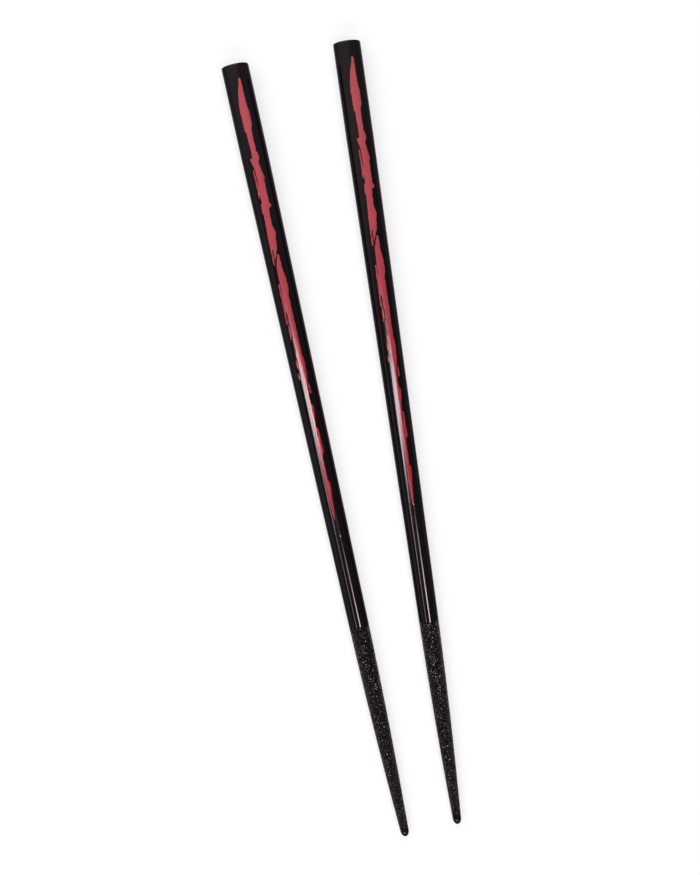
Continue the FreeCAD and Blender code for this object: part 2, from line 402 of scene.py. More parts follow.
def lacquer_skin_group() -> bpy.types.NodeTree:
    """Height and tone of a lacquer skin over turned wood, shared by both lacquers.

    The height adds rounded ripples, as wet lacquer leaves, to long fine ridges, which are
    the wood's grain and the polisher's marks that show through. The tone is the same
    ridges with a slow cloud, to vary colour and gloss.

    Returns:
        The group's node tree.
    """
    tree = new_group(
        "lacquer_skin",
        [
            Socket("Vector", "NodeSocketVector"),
            Socket("Ripple", "NodeSocketFloat", 1.0),
            Socket("Grain", "NodeSocketFloat", 1.0),
        ],
        [Socket("Height", "NodeSocketFloat"), Socket("Tone", "NodeSocketFloat")],
    )
    graph = Graph(tree)
    given = graph.get("NodeGroupInput").outputs
    vector = given["Vector"]
    ripple = graph.stretched(vector, *RIPPLE_CELL)
    grain = graph.stretched(vector, *GRAIN_CELL)
    cloud = graph.stretched(vector, *CLOUD_CELL)
    ripple_height = graph.maths("MULTIPLY", ripple, given["Ripple"])
    height = graph.maths("MULTIPLY_ADD", grain, given["Grain"], ripple_height)
    cloud_share = graph.maths("MULTIPLY", cloud, 1.0 - GRAIN_SHARE)
    tone = graph.maths("MULTIPLY_ADD", grain, GRAIN_SHARE, cloud_share)
    result = graph.get("NodeGroupOutput").inputs
    graph.join(result["Height"], height)
    graph.join(result["Tone"], tone)
    return tree


def dust_group() -> bpy.types.NodeTree:
    """A mask of fine specks: round spots in cells, of which only a share is kept.

    Returns:
        The group's node tree.
    """
    tree = new_group(
        "dust",
        [
            Socket("Vector", "NodeSocketVector"),
            Socket("Spacing", "NodeSocketFloat", 1.0),
            Socket("Share", "NodeSocketFloat", 0.1),
            Socket("Size", "NodeSocketFloat", 0.1),
        ],
        [Socket("Mask", "NodeSocketFloat")],
    )
    graph = Graph(tree)
    given = graph.get("NodeGroupInput").outputs
    scale = graph.maths("DIVIDE", 1.0, given["Spacing"])
    cells = graph.add("ShaderNodeTexVoronoi", {"Vector": given["Vector"], "Scale": scale})
    speck = graph.add("ShaderNodeMapRange", {"Value": cells.outputs["Distance"], "From Min": given["Size"]})
    graph.join(speck.inputs["From Max"], graph.maths("MULTIPLY", given["Size"], SPECK_CORE))
    draw = graph.add("ShaderNodeSeparateColor", {"Color": cells.outputs["Color"]})
    kept = graph.maths("LESS_THAN", draw.outputs[0], given["Share"])
    mask = graph.maths("MULTIPLY", speck.outputs[0], kept)
    graph.join(graph.get("NodeGroupOutput").inputs["Mask"], mask)
    return tree


def facets_group() -> bpy.types.NodeTree:
    """Small flat facets that lean every way, as grains of grit in lacquer do.

    The plane is split into cells. In each cell the height rises in a straight line from
    the cell's centre, in a direction and by a slope drawn for that cell. A share of the
    cells is picked by another draw.

    Returns:
        The group's node tree.
    """
    tree = new_group(
        "facets",
        [
            Socket("Vector", "NodeSocketVector"),
            Socket("Size", "NodeSocketFloat", 0.4),
            Socket("Lean", "NodeSocketFloat", 0.2),
            Socket("Share", "NodeSocketFloat", 0.1),
        ],
        [Socket("Height", "NodeSocketFloat"), Socket("Pick", "NodeSocketFloat")],
    )
    graph = Graph(tree)
    given = graph.get("NodeGroupInput").outputs
    scale = graph.maths("DIVIDE", 1.0, given["Size"])
    place = {"Vector": given["Vector"], "Scale": scale}
    cells = graph.add("ShaderNodeTexVoronoi", place, voronoi_dimensions="2D")
    apart = graph.vectors("SUBTRACT", given["Vector"], cells.outputs["Position"])
    centred = graph.vectors("SUBTRACT", cells.outputs["Color"], (0.5, 0.5, 0.5))
    rise = graph.vectors("DOT_PRODUCT", apart.outputs[0], centred.outputs[0])
    slope = graph.maths("MULTIPLY", given["Lean"], 2.0)
    draw = graph.add("ShaderNodeSeparateColor", {"Color": cells.outputs["Color"]})
    result = graph.get("NodeGroupOutput").inputs
    graph.join(result["Height"], graph.maths("MULTIPLY", rise.outputs["Value"], slope))
    graph.join(result["Pick"], graph.maths("LESS_THAN", draw.outputs[2], given["Share"]))
    return tree


@dataclass(frozen=True)
class BlackLacquer:
    """Black lacquer over turned wood: glossy under the film, and a little glossier past it.

    Its gloss falls off where the surface turns away from the eye, between the two Facing
    values of gloss_ends, so that the rims stay as dark as they are on the real pair.
    """

    colour: tuple[float, float, float] = (0.0038, 0.0020, 0.0033)
    colour_light: tuple[float, float, float] = (0.0060, 0.0035, 0.0052)
    gloss_tint: tuple[float, float, float] = (1.0, 0.82, 0.88)
    roughness_film: float = 0.095
    roughness_bare: float = 0.085
    gloss_ends: tuple[float, float] = (0.13, 0.40)
    gloss: float = 0.50
    rim_gloss: float = 0.02
    roughness_range: float = 0.04
    ripple: float = 0.0009
    grain: float = 0.0005
    dust_colour: tuple[float, float, float] = (0.05, 0.046, 0.05)
    dust_spacing: float = 1.2
    dust_share: float = 0.05
    dust_strength: float = 0.5

    def material(self, groups: Groups) -> bpy.types.Material:
        """Build the material.

        Args:
            groups: The shared node groups, by name.

        Returns:
            The material.
        """
        made = bpy.data.materials.new("black_lacquer")
        made.use_nodes = True
        graph = Graph(made.node_tree)
        shader = graph.get("ShaderNodeBsdfPrincipled")
        place = graph.add("ShaderNodeUVMap", uv_map="along_and_round").outputs[0]
        film = graph.add("ShaderNodeAttribute", attribute_name="film").outputs["Fac"]
        skin = graph.group(groups["lacquer_skin"], vector=place, ripple=self.ripple, grain=self.grain)
        dust = graph.group(
            groups["dust"], vector=place, spacing=self.dust_spacing, share=self.dust_share
        )
        tone = skin.outputs["Tone"]
        black = graph.mixed(tone, self.colour, self.colour_light)
        dusty = graph.maths("MULTIPLY", dust.outputs[0], self.dust_strength)
        dusted = graph.mixed(dusty, black, self.dust_colour)
        graph.join(shader.inputs["Base Color"], dusted)
        film_change = self.roughness_film - self.roughness_bare
        base = graph.maths("MULTIPLY_ADD", film, film_change, self.roughness_bare)
        centred = graph.maths("SUBTRACT", tone, 0.5)
        varied = graph.maths("MULTIPLY_ADD", centred, self.roughness_range, base)
        graph.join(shader.inputs["Roughness"], varied)
        graph.join(shader.inputs["Normal"], graph.bump(skin.outputs["Height"]))
        facing = graph.add("ShaderNodeLayerWeight", {"Blend": 0.5}).outputs["Facing"]
        turned_away = graph.step(facing, *self.gloss_ends)
        gloss_change = self.rim_gloss - self.gloss
        level = graph.maths("MULTIPLY_ADD", turned_away, gloss_change, self.gloss)
        graph.join(shader.inputs["Specular IOR Level"], level)
        shader.inputs["IOR"].default_value = LACQUER_IOR
        shader.inputs["Specular Tint"].default_value = (*self.gloss_tint, 1.0)
        return made


@dataclass(frozen=True)
class GritLacquer:
    """Dull black lacquer full of grit, of which a few bare facets glint, with a painted highlight: the
    grains' tops are coloured paler.
    """

    colour: tuple[float, float, float] = (0.0060, 0.0032, 0.0050)
    # Paler colour for the grains' tops: a painted highlight.
    colour_light: tuple[float, float, float] = (0.0300, 0.0210, 0.0270)
    glint: tuple[float, float, float] = (0.052, 0.044, 0.049)
    gloss_tint: tuple[float, float, float] = (1.0, 0.84, 0.90)
    roughness: float = 0.48
    glint_roughness: float = 0.14
    facet_size: float = 0.26
    facet_lean: float = 0.36
    glint_share: float = 0.41
    # Noise that breaks up the painted highlight on the grain tops.
    speckle_cell: tuple[float, float] = (0.34, 0.30)
    speckle_ends: tuple[float, float] = (0.50, 0.68)
    gloss: float = 0.05
    ripple: float = 0.006
    grain: float = 0.002

    def material(self, groups: Groups) -> bpy.types.Material:
        """Build the material.

        Args:
            groups: The shared node groups, by name.

        Returns:
            The material.
        """
        made = bpy.data.materials.new("grit_lacquer")
        made.use_nodes = True
        graph = Graph(made.node_tree)
        shader = graph.get("ShaderNodeBsdfPrincipled")
        place = graph.add("ShaderNodeUVMap", uv_map="along_and_round").outputs[0]
        lit_grain_tops = graph.add("ShaderNodeAttribute", attribute_name="grain_top_highlight").outputs["Fac"]
        skin = graph.group(groups["lacquer_skin"], vector=place, ripple=self.ripple, grain=self.grain)
        facets = graph.group(
            groups["facets"],
            vector=place,
            size=self.facet_size,
            lean=self.facet_lean,
            share=self.glint_share,
        )
        pick = facets.outputs["Pick"]
        speckle = graph.stretched(place, *self.speckle_cell, 1.0)
        pale = graph.add("ShaderNodeMapRange", {"Value": speckle})
        pale.inputs["From Min"].default_value, pale.inputs["From Max"].default_value = self.speckle_ends
        # Painted highlight: the colour is paler where the grains stand highest and a speckle noise is high.
        painted_highlight = graph.maths("MULTIPLY", pale.outputs[0], lit_grain_tops)
        dull = graph.mixed(painted_highlight, self.colour, self.colour_light)
        graph.join(shader.inputs["Base Color"], graph.mixed(pick, dull, self.glint))
        graph.join(shader.inputs["Metallic"], pick)
        smoother = self.glint_roughness - self.roughness
        graph.join(shader.inputs["Roughness"], graph.maths("MULTIPLY_ADD", pick, smoother, self.roughness))
        height = graph.maths("ADD", facets.outputs["Height"], skin.outputs["Height"])
        graph.join(shader.inputs["Normal"], graph.bump(height))
        shader.inputs["IOR"].default_value = LACQUER_IOR
        shader.inputs["Specular IOR Level"].default_value = self.gloss
        shader.inputs["Specular Tint"].default_value = (*self.gloss_tint, 1.0)
        return made


@dataclass(frozen=True)
class RedLacquer:
    """Red lacquer brushed on thinly: paler nearer the butt end, deeper towards the tip.

    It deepens between two distances from the butt end, in millimetres.
    """

    start_colour: tuple[float, float, float] = (0.470, 0.072, 0.090)
    end_colour: tuple[float, float, float] = (0.380, 0.019, 0.031)
    deepens: tuple[float, float] = (10.0, 140.0)
    roughness: float = 0.105
    roughness_range: float = 0.05
    tone_floor: float = 0.75
    tone_range: float = 0.5
    ripple: float = 0.0010
    grain: float = 0.0009

    def material(self, groups: Groups) -> bpy.types.Material:
        """Build the material.

        Args:
            groups: The shared node groups, by name.

        Returns:
            The material.
        """
        made = bpy.data.materials.new("red_lacquer")
        made.use_nodes = True
        graph = Graph(made.node_tree)
        shader = graph.get("ShaderNodeBsdfPrincipled")
        place = graph.add("ShaderNodeUVMap", uv_map="along_and_round").outputs[0]
        skin = graph.group(groups["lacquer_skin"], vector=place, ripple=self.ripple, grain=self.grain)
        apart = graph.add("ShaderNodeSeparateXYZ", {"Vector": place})
        tone = skin.outputs["Tone"]
        further = graph.step(apart.outputs[0], *self.deepens)
        pale = graph.mixed(further, self.start_colour, self.end_colour)
        deep = graph.add("ShaderNodeHueSaturation", {"Color": pale, "Saturation": 1.0})
        value = graph.maths("MULTIPLY_ADD", tone, self.tone_range, self.tone_floor)
        graph.join(deep.inputs["Value"], value)
        graph.join(shader.inputs["Base Color"], deep.outputs[0])
        centred = graph.maths("SUBTRACT", tone, 0.5)
        varied = graph.maths("MULTIPLY_ADD", centred, self.roughness_range, self.roughness)
        graph.join(shader.inputs["Roughness"], varied)
        graph.join(shader.inputs["Normal"], graph.bump(skin.outputs["Height"]))
        shader.inputs["IOR"].default_value = LACQUER_IOR
        return made


@dataclass
class Chopstick:
    """One stick: a turned rod in black lacquer, with a film over its upper part and a gritty point.

    The film ends at film_end, and further along by film_slant on the right. The grit
    begins at grit_start and is thinner from grit_fade on. Its grains are drawn by seed.
    The patterns are unrolled as on a stick of unrolled_radius, in millimetres.
    """

    side: Side
    film_end: float
    film_slant: float
    grit_start: float
    grit_fade: float
    seed: int
    sizes: StickSizes = SIZES
    segments: int = 132
    grain_count: int = 6400
    grain_height: float = 0.040 * MM
    grain_radius: float = 0.27 * MM
    film_thickness: float = 0.030 * MM
    polish: float = 0.010 * MM
    edge_rings: int = 9
    grip_rings: int = 90
    bare_rings: int = 56
    nose_rings: int = 15
    seam_before: float = 2.9 * MM
    seam_after: float = 3.0 * MM
    seam_step: float = 0.12 * MM
    seam_blur: float = 0.10 * MM
    broad_wave: float = 0.25 * MM
    fine_wave: float = 0.12 * MM
    point_lead: float = 1.5 * MM
    point_step: float = 0.14 * MM
    grit_lead: float = 1.0 * MM
    grit_rise: float = 1.6 * MM
    grit_tail: float = 0.8 * MM
    grain_sizes: tuple[float, float] = (0.55, 1.25)
    grain_heights: tuple[float, float] = (0.35, 1.0)
    grain_bias: float = 1.5
    grain_reach: int = 4
    grain_margin: float = 1.2 * MM
    buried: float = 0.95
    patchiness: float = 0.9
    patch_level: float = 0.4
    patch_from: float = 0.02
    unrolled_radius: float = 3.4

    def stations(self) -> np.ndarray:
        """Distances from the butt end at which the rings stand.

        They are close at the rounded butt edge and the film's end, evenly fine over the
        gritty point, coarse elsewhere, and close up to the nose's pole by equal angles.

        Returns:
            The distances, in order.
        """
        sizes = self.sizes
        quarter = np.pi / 2.0
        edge = sizes.butt_rounding * (1.0 - np.cos(np.linspace(0.0, quarter, self.edge_rings)))
        grip = np.linspace(sizes.butt_rounding, self.film_end - self.seam_after, self.grip_rings)[1:]
        seam = np.arange(self.film_end - self.seam_before, self.film_end + self.seam_after, self.seam_step)
        bare = np.linspace(seam[-1], self.grit_start - self.point_lead, self.bare_rings)[1:]
        point = np.arange(bare[-1] + self.point_step, sizes.nose_at, self.point_step)
        nose = sizes.nose_at + sizes.nose_length * np.sin(np.linspace(0.0, quarter, self.nose_rings))[:-1]
        return np.concatenate([edge, grip, seam, bare, point, nose])

    def grains(self, along: np.ndarray, angle: np.ndarray) -> np.ndarray:
        """Height of the grit, from 0 to 1, on the grid of rings and segments.

        Each grain is a rounded bump: one less the square of the distance from its centre
        over its radius. Where grains overlap, the higher one counts. Centres,
        radii and heights are drawn with a fixed seed, evenly over the gritty point.

        Args:
            along: The rings' distances from the butt end.
            angle: The segments' angles.

        Returns:
            One height per ring and segment.
        """
        draw = np.random.default_rng(self.seed)
        first = int(np.searchsorted(along, self.grit_start - self.grain_margin))
        count = self.grain_count
        rings = len(along)
        centre_along = draw.uniform(self.grit_start - self.grit_lead, self.sizes.nose_at, count)
        widest = self.sizes.neck_radius
        kept = draw.uniform(0.0, widest, count) < self.sizes.radius(centre_along)
        centre_along = centre_along[kept]
        centre_angle = draw.uniform(0.0, 2.0 * np.pi, len(centre_along))
        size = self.grain_radius * draw.uniform(*self.grain_sizes, len(centre_along))
        tall = draw.uniform(*self.grain_heights, len(centre_along)) ** self.grain_bias
        height = np.zeros((rings, self.segments))
        reach = self.grain_reach
        ring_near = np.clip(np.searchsorted(along, centre_along), first, rings - 1)
        step = 2.0 * np.pi / self.segments
        segment_near = np.rint(centre_angle / step).astype(int)
        offsets = np.arange(-reach, reach + 1)
        round_offsets = np.arange(-2 * reach, 2 * reach + 1)
        ring = np.clip(ring_near[:, None, None] + offsets[None, :, None], 0, rings - 1)
        segment = segment_near[:, None, None] + round_offsets[None, None, :]
        turn = (segment * step) - centre_angle[:, None, None]
        radius = self.sizes.radius(centre_along)[:, None, None]
        apart = np.hypot(along[ring] - centre_along[:, None, None], turn * radius)
        bump = np.clip(1.0 - (apart / size[:, None, None]) ** 2, 0.0, 1.0)
        ring_all, segment_all = np.broadcast_arrays(ring, segment % self.segments)
        np.maximum.at(height, (ring_all, segment_all), bump * tall[:, None, None])
        return height

    def build(self) -> bpy.types.Object:
        """Build the stick's mesh.

        The surface is the radius turned about the axis: y is the radius times the sine of
        the angle and z the radius times its cosine. The last polish takes a hair off all
        over, which keeps the stick inside its turned size. Past the film's slanting, slightly
        wavy end the radius drops by the film's thickness, and on the point the grit's
        height is added, less what nearly all of it stays under, so that the stick keeps
        its size. Faces on the grit take the second material, patchily where it fades.

        Returns:
            The stick's object.
        """
        along = self.stations()
        angle = np.linspace(0.0, 2.0 * np.pi, self.segments, endpoint=False)
        radius = np.repeat(self.sizes.radius(along)[:, None], self.segments, axis=1)
        across = np.sin(angle)
        wave = self.broad_wave * np.sin(2.0 * angle + 0.7) + self.fine_wave * np.sin(5.0 * angle)
        seam = self.film_end + self.film_slant * across + wave
        past = along[:, None] - seam[None, :]
        film = 1.0 - smooth_step(past, -self.seam_blur, self.seam_blur)
        fine = self.grains(along, angle)
        rise = smooth_step(along, self.grit_start - self.grit_lead, self.grit_start + self.grit_rise)
        fall = 1.0 - smooth_step(along, self.grit_fade, self.sizes.nose_at + self.grit_tail)
        grit = (rise * fall)[:, None] * np.ones(self.segments)[None, :]
        radius = radius - self.polish - self.film_thickness * (1.0 - film)
        buried = np.quantile(fine[grit[:, 0] > 0.5], self.buried)
        radius = radius + grit * self.grain_height * (fine - buried)
        ring_points = np.stack(
            [
                np.repeat(along[:, None], self.segments, axis=1),
                radius * np.sin(angle)[None, :],
                radius * np.cos(angle)[None, :],
            ],
            axis=-1,
        ).reshape(-1, 3)
        rings = len(along)
        butt_pole = np.array([[0.0, 0.0, 0.0]])
        tip_pole = np.array([[self.sizes.length, 0.0, 0.0]])
        vertices = np.concatenate([ring_points, butt_pole, tip_pole])
        faces = self.ring_faces(rings)
        flat_along = np.concatenate([np.repeat(along, self.segments), [0.0, self.sizes.length]])
        wrapped = (angle + np.pi) % (2.0 * np.pi) - np.pi
        flat_round = np.concatenate([np.tile(wrapped * self.unrolled_radius * MM, rings), [0.0, 0.0]])
        uv = np.stack([flat_along, flat_round], axis=-1) / MM + self.side.pattern_shift
        masks = {
            "film": np.concatenate([film.ravel(), [1.0, 0.0]]),
            # Height of the grains, which the grit lacquer paints paler as a painted highlight.
            "grain_top_highlight": np.concatenate([(grit * fine).ravel(), [0.0, 0.0]]),
        }
        name = f"lacquered_stick_{self.side.word}"
        piece = build_object(name, vertices, faces, self.sizes.place(self.side), uv, masks)
        patches = self.patchiness * (fine - self.patch_level) * (grit > self.patch_from)
        gritty = np.concatenate([(grit + patches > 0.5).ravel(), [False, False]])
        second = gritty[faces].sum(axis=1) > 1
        piece.data.polygons.foreach_set("material_index", second.astype(np.int32))
        return piece

    def ring_faces(self, rings: int) -> np.ndarray:
        """Triangles between the rings and to the two poles, all facing outwards.

        Args:
            rings: How many rings there are.

        Returns:
            One row of three vertex numbers per triangle.
        """
        count = self.segments
        ring, segment = np.meshgrid(np.arange(rings - 1), np.arange(count), indexing="ij")
        following = (segment + 1) % count
        here, beside = ring * count + segment, ring * count + following
        ahead, diagonal = here + count, beside + count
        lower = np.stack([here, ahead, diagonal], axis=-1).reshape(-1, 3)
        upper = np.stack([here, diagonal, beside], axis=-1).reshape(-1, 3)
        around = np.arange(count)
        turned = (around + 1) % count
        butt = np.stack([np.full(count, rings * count), around, turned], axis=-1)
        last = (rings - 1) * count
        tip = np.stack([np.full(count, rings * count + 1), last + turned, last + around], axis=-1)
        return np.concatenate([lower, upper, butt, tip])


@dataclass(frozen=True)
class Band:
    """A ribbon on the stick: rows of distance along, left edge and right edge, in millimetres."""

    rows: Rows

    def depth(
        self, along: np.ndarray, across: np.ndarray, left_rag: np.ndarray, right_rag: np.ndarray
    ) -> np.ndarray:
        """How far each place lies inside the ribbon, negative outside.

        The edges run straight between the rows, moved by what is ragged. The depth is the
        least of the distances to the left edge, to the right edge and to the two ends.

        Args:
            along: Distances along, in millimetres, one per column of the grid.
            across: Places across, in millimetres, one per row of the grid.
            left_rag: How far the left edge is moved, per column.
            right_rag: How far the right edge is moved, per column.

        Returns:
            The depth in millimetres, one value per column and row.
        """
        places, lefts, rights = (np.array(values) for values in zip(*self.rows))
        left = np.interp(along, places, lefts) + left_rag
        right = np.interp(along, places, rights) + right_rag
        ends = np.minimum(along - places[0], places[-1] - along)
        inside = np.minimum(across[None, :] - left[:, None], right[:, None] - across[None, :])
        return np.minimum(inside, ends[:, None])


@dataclass(frozen=True)
class StrokeShape:
    """One part of the stroke: ribbons laid together, with slits that the brush left open."""

    part: Part
    ribbons: tuple[Band, ...]
    slits: tuple[Band, ...]


UPPER_SHAPE = StrokeShape(
    Part.UPPER,
    (
        Band((
            (3.5, 0.55, 0.70), (3.9, 0.38, 0.90), (6.0, 0.00, 1.00), (7.6, -0.45, 1.02),
            (9.5, -0.85, 1.05), (12.0, -1.08, 1.10), (13.2, -1.10, 1.32), (15.0, -1.10, 1.38),
            (17.0, -1.08, 1.36), (18.3, -1.08, 0.92), (18.9, -1.05, 0.88), (19.4, -0.74, 0.88),
            (22.0, -0.68, 0.86), (25.0, -0.60, 0.86), (25.4, -0.58, 1.15), (26.4, -0.60, 1.32),
            (27.4, -0.70, 1.26), (28.0, -0.80, 0.78), (29.5, -0.70, 1.05), (31.5, -0.62, 1.30),
            (33.0, -0.60, 1.58), (33.4, -0.60, 1.30), (37.0, -0.60, 1.28), (40.0, -0.72, 1.30),
            (40.4, -1.10, 1.68), (41.2, -1.14, 1.68), (41.5, -1.14, 0.92), (43.0, -1.10, 0.80),
            (43.4, -0.94, 0.78), (46.5, -1.05, 0.72), (48.6, -1.22, 1.22), (50.5, -1.28, 0.95),
            (52.8, -1.28, 0.70), (53.4, -0.86, 0.55), (55.3, -0.62, -0.10), (56.6, -0.60, -0.55),
        )),
        Band(((26.8, -1.20, -0.50), (27.3, -1.24, -0.50), (29.3, -0.80, -0.50), (29.7, -0.70, -0.50))),
        Band((
            (30.1, -1.24, -1.02), (31.0, -1.26, -0.88), (34.0, -1.26, -0.70), (36.0, -1.22, -0.60),
            (38.3, -1.22, -0.55), (38.8, -0.95, -0.55),
        )),
        Band(((39.9, -1.18, -0.60), (42.9, -1.18, -0.60), (43.2, -0.98, -0.60))),
        Band(((51.5, -1.30, -0.95), (54.0, -1.32, -0.92), (56.8, -1.30, -0.88), (57.9, -1.20, -1.00))),
    ),
    (
        Band(((29.6, -0.98, -0.78), (30.4, -0.92, -0.74), (33.4, -0.86, -0.70), (36.2, -0.80, -0.72))),
        Band(((37.2, -0.92, -0.78), (38.9, -0.98, -0.74), (40.0, -1.10, -0.90))),
        Band(((53.0, -0.78, -0.62), (54.6, -0.86, -0.60), (56.2, -0.84, -0.64))),
    ),
)

LOWER_SHAPE = StrokeShape(
    Part.LOWER,
    (
        Band((
            (54.9, 0.45, 0.62), (55.6, 0.25, 0.92), (57.2, -0.22, 0.88), (58.4, -0.68, 0.86),
            (60.5, -0.70, 1.08), (62.6, -0.72, 1.34), (65.0, -0.84, 1.36), (66.8, -0.96, 1.00),
            (72.0, -1.02, 1.00), (75.0, -1.00, 1.00), (78.6, -0.90, 1.02), (80.0, -0.60, 1.02),
            (82.0, -0.40, 1.02), (84.5, -0.55, 1.02), (86.5, -0.62, 1.38), (88.0, -0.42, 1.25),
            (90.0, -0.18, 1.16), (92.6, -0.06, 0.86), (96.0, -0.04, 0.52), (98.6, -0.06, 0.62),
            (99.2, -0.06, 1.02), (101.5, -0.08, 0.96), (103.5, -0.10, 0.64), (105.4, -0.12, 0.46),
            (105.8, -0.12, 0.92), (108.0, -0.18, 1.02), (111.5, -0.30, 1.14), (112.9, -0.34, 1.12),
            (113.3, -0.36, 0.54), (117.0, -0.38, 0.44), (120.6, -0.40, 0.44), (121.6, -0.42, 0.82),
            (123.8, -0.42, 0.82), (124.6, -0.42, 0.62), (128.0, -0.44, 0.46), (131.0, -0.30, 0.24),
            (132.5, -0.16, -0.06),
        )),
        Band((
            (63.4, -1.20, -0.90), (64.2, -1.24, -0.80), (67.0, -1.30, -0.80), (72.0, -1.34, -0.80),
            (74.9, -1.36, -0.80), (75.3, -1.02, -0.80), (77.5, -1.20, -0.80), (79.6, -1.22, -1.02),
        )),
        Band(((83.6, -0.72, -0.40), (84.2, -0.76, -0.40), (86.0, -0.76, -0.40))),
        Band(((85.5, -1.18, -0.92), (86.4, -1.24, -0.78), (88.1, -1.16, -0.90))),
        Band(((89.4, -1.44, -1.20), (90.2, -1.46, -0.94), (91.3, -1.30, -1.06))),
        Band(((92.8, 0.96, 1.16), (93.6, 0.90, 1.32), (95.2, 0.98, 1.24), (95.6, 1.04, 1.18))),
    ),
    (
        Band(((63.9, -0.92, -0.72), (65.2, -0.88, -0.68), (66.6, -0.82, -0.74))),
        Band(((71.6, -0.96, -0.72), (72.6, -1.02, -0.52), (75.6, -0.96, -0.54))),
        Band(((75.0, -0.74, -0.50), (76.2, -0.70, -0.28), (79.2, -0.64, -0.36))),
        Band(((78.6, -1.06, -0.74), (80.2, -0.94, -0.48), (82.0, -0.86, -0.48))),
        Band(((84.8, -0.92, -0.62), (86.4, -0.82, -0.56), (88.2, -0.76, -0.52))),
        Band(((92.4, 0.60, 0.78), (93.4, 0.62, 0.86), (95.2, 0.58, 0.80))),
        Band(((106.3, 0.42, 0.54), (107.4, 0.42, 0.60), (108.9, 0.50, 0.58))),
    ),
)


@dataclass
class BrushStroke:
    """One part of the red stroke on one stick, as a thin coat with soft edges.

    The cells, the margin, the reach across and the edge's width are in millimetres, as
    the measured shapes are. A rag is pairs of the length and the size of an edge's moves.
    """

    side: Side
    shape: StrokeShape
    shift_along: float
    turn: float
    seed: int
    sizes: StickSizes = SIZES
    cell_along: float = 0.12
    cell_across: float = 0.06
    thickness: float = 0.030 * MM
    sunk: float = 0.024 * MM
    edge_width: float = 0.10
    lip: float = 0.003 * MM
    margin: float = 0.5
    across_from: float = -1.9
    across_to: float = 2.1
    outside: float = -9.0
    ribbon_rag: tuple[tuple[float, float], ...] = ((1.6, 0.030), (0.5, 0.018))
    slit_rag: tuple[tuple[float, float], ...] = ((0.8, 0.020), (0.3, 0.012))

    def ragged(
        self, draw: np.random.Generator, count: int, lengths: tuple[tuple[float, float], ...]
    ) -> np.ndarray:
        """A ragged run of small moves: random values smoothed over some lengths, and added.

        Args:
            draw: The random generator.
            count: How many values.
            lengths: Pairs of length in millimetres and size in millimetres.

        Returns:
            The moves, in millimetres.
        """
        total = np.zeros(count)
        for length, size in lengths:
            width = max(3, int(round(length / self.cell_along)) | 1)
            window = np.hanning(width + 2)[1:-1]
            smooth = np.convolve(draw.standard_normal(count + width - 1), window, mode="valid")
            total += size * smooth / np.sqrt((window**2).sum())
        return total

    def depth_grid(self) -> tuple[np.ndarray, np.ndarray, np.ndarray]:
        """The stroke's depth on a grid of places along and across.

        The ribbons' depths are joined by the greatest, and the slits are taken away by the
        least of that and their depth's negative. A ragged run moves each edge a little, as
        single hairs of the brush do.

        Returns:
            Places along, places across, both in millimetres, and the depth grid.
        """
        low = min(band.rows[0][0] for band in self.shape.ribbons) - self.margin
        high = max(band.rows[-1][0] for band in self.shape.ribbons) + self.margin
        along = np.arange(low, high, self.cell_along)
        across = np.arange(self.across_from, self.across_to, self.cell_across)
        draw = np.random.default_rng(self.seed)
        depth = np.full((len(along), len(across)), self.outside)
        for band in self.shape.ribbons:
            left, right = (self.ragged(draw, len(along), self.ribbon_rag) for _ in range(2))
            depth = np.maximum(depth, band.depth(along, across, left, right))
        for band in self.shape.slits:
            left, right = (self.ragged(draw, len(along), self.slit_rag) for _ in range(2))
            depth = np.minimum(depth, -band.depth(along, across, left, right))
        depth[[0, -1], :] = -self.margin
        depth[:, [0, -1]] = -self.margin
        return along, across, depth

    def build(self) -> bpy.types.Object:
        """Build the coat's mesh.

        The depth grid is cut at zero, triangle by triangle, so the outline runs between
        grid points. The top skin stands above the stick's surface by the thickness, which
        falls off towards the outline as the square root of the depth. The bottom skin
        lies a little inside the stick, and walls join the two round the outline.

        Returns:
            The coat's object.
        """
        along, across, depth = self.depth_grid()
        place_along, place_across = np.meshgrid(along, across, indexing="ij")
        points = np.stack([place_along.ravel(), place_across.ravel(), depth.ravel()], axis=-1)
        flat, triangles, border = cut_at_zero(points, depth.shape)
        lift = np.sqrt(np.clip(flat[:, 2] / self.edge_width, 0.0, 1.0))
        top = self.on_stick(flat, self.lip + (self.thickness - self.lip) * lift)
        bottom = self.on_stick(flat, np.full(len(flat), -self.sunk))
        count = len(flat)
        first, second = border[:, 0], border[:, 1]
        walls = np.concatenate(
            [
                np.stack([first + count, second + count, second], axis=-1),
                np.stack([first + count, second, first], axis=-1),
            ]
        )
        faces = np.concatenate([triangles, triangles[:, ::-1] + count, walls])
        uv = np.tile(flat[:, :2] + self.side.pattern_shift, (2, 1))
        place = self.sizes.place(self.side) @ Matrix.Rotation(math.radians(self.turn), 4, "X")
        name = f"red_stroke_{self.shape.part.value}_{self.side.word}"
        return build_object(name, np.concatenate([top, bottom]), faces, place, uv, {})

    def on_stick(self, flat: np.ndarray, lift: np.ndarray) -> np.ndarray:
        """Places on the stick, lifted off its surface.

        A place across is the sine of the angle from the top times the radius, so the
        outline is as it looks from straight above. The top of the stick lies nearer the
        camera than its axis by the radius, so a measured place moves towards the middle
        of the stick by its distance from there times the radius over the view's height.

        Args:
            flat: Rows of place along and across, in millimetres.
            lift: How far each is lifted, in metres.

        Returns:
            Rows of x, y and z in the stick's own frame.
        """
        measured = flat[:, 0] * MM + self.shift_along
        nearer = self.sizes.radius(measured) / VIEW_HEIGHT
        along = measured + nearer * (self.sizes.length / 2.0 - measured)
        radius = self.sizes.radius(along)
        sine = np.clip(flat[:, 1] * MM / radius, -0.95, 0.95)
        raised = radius + lift
        return np.stack([along, raised * sine, raised * np.sqrt(1.0 - sine**2)], axis=-1)


